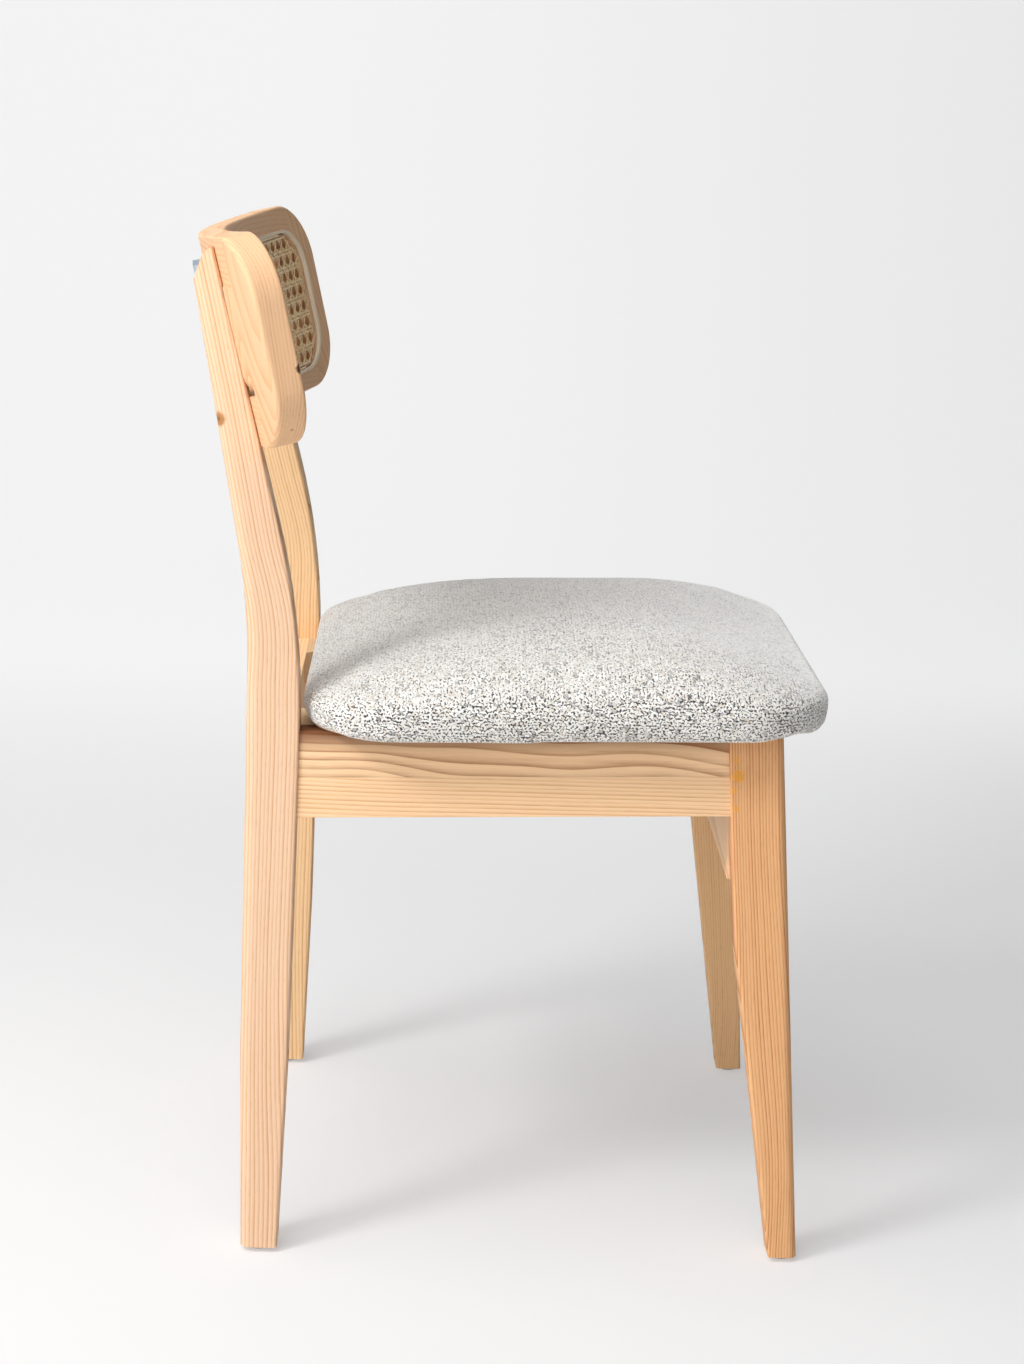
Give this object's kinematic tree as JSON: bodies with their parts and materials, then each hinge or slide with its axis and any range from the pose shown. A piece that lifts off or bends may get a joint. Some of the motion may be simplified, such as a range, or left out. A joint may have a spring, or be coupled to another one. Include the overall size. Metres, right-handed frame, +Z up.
{
  "type": "dining chair",
  "caption": "Ash dining chair with tapered legs, an upholstered tweed seat and a curved backrest framing a woven cane panel.",
  "frame": {"origin": "on the floor, below the middle of the chair's bounding box", "axes": "+Z up, the chair faces -Y, the sitter's left is at +X"},
  "size_m": [0.4568, 0.5042, 0.7893],
  "materials": {
    "ash_post": "matt clear finish",
    "ash_leg": "matt clear finish",
    "ash_rail": "matt clear finish",
    "ash_back": "matt clear finish",
    "hidden_wood": "matt clear finish",
    "plywood": "matt clear finish",
    "tweed": "woven tweed with dark flecks",
    "lining": "thin non-woven cloth",
    "foam": "upholstery foam, out of sight",
    "cane": "natural cane",
    "spline": "natural reed",
    "zinc": "zinc plated",
    "glide": "matt black"
  },
  "bodies": {
    "root": {"back_post_right": "ash_post", "back_post_left": "ash_post", "front_leg_right": "ash_leg", "front_leg_left": "ash_leg", "side_rail_lower_right": "ash_rail", "side_rail_lower_left": "ash_rail", "side_rail_upper_right": "ash_rail", "side_rail_upper_left": "ash_rail", "front_rail": "ash_rail", "rear_rail": "ash_rail", "rail_dowels": "hidden_wood", "corner_blocks": "hidden_wood", "corner_block_screws": "zinc", "seat_screws": "zinc", "seat_board": "plywood", "seat_foam": "foam", "seat_cover": "tweed", "dust_cover": "lining", "backrest_top_rail": "ash_back", "backrest_bottom_rail": "ash_back", "backrest_stile_right": "ash_back", "backrest_stile_left": "ash_back", "backrest_seat_block_right": "ash_back", "backrest_seat_block_left": "ash_back", "backrest_dowels": "hidden_wood", "cane_panel": "cane", "cane_spline": "spline", "backrest_bolts": "zinc", "bolt_washers": "zinc", "threaded_inserts": "zinc", "foot_glides": "glide", "glide_nails": "zinc"}
  },
  "joints": []
}
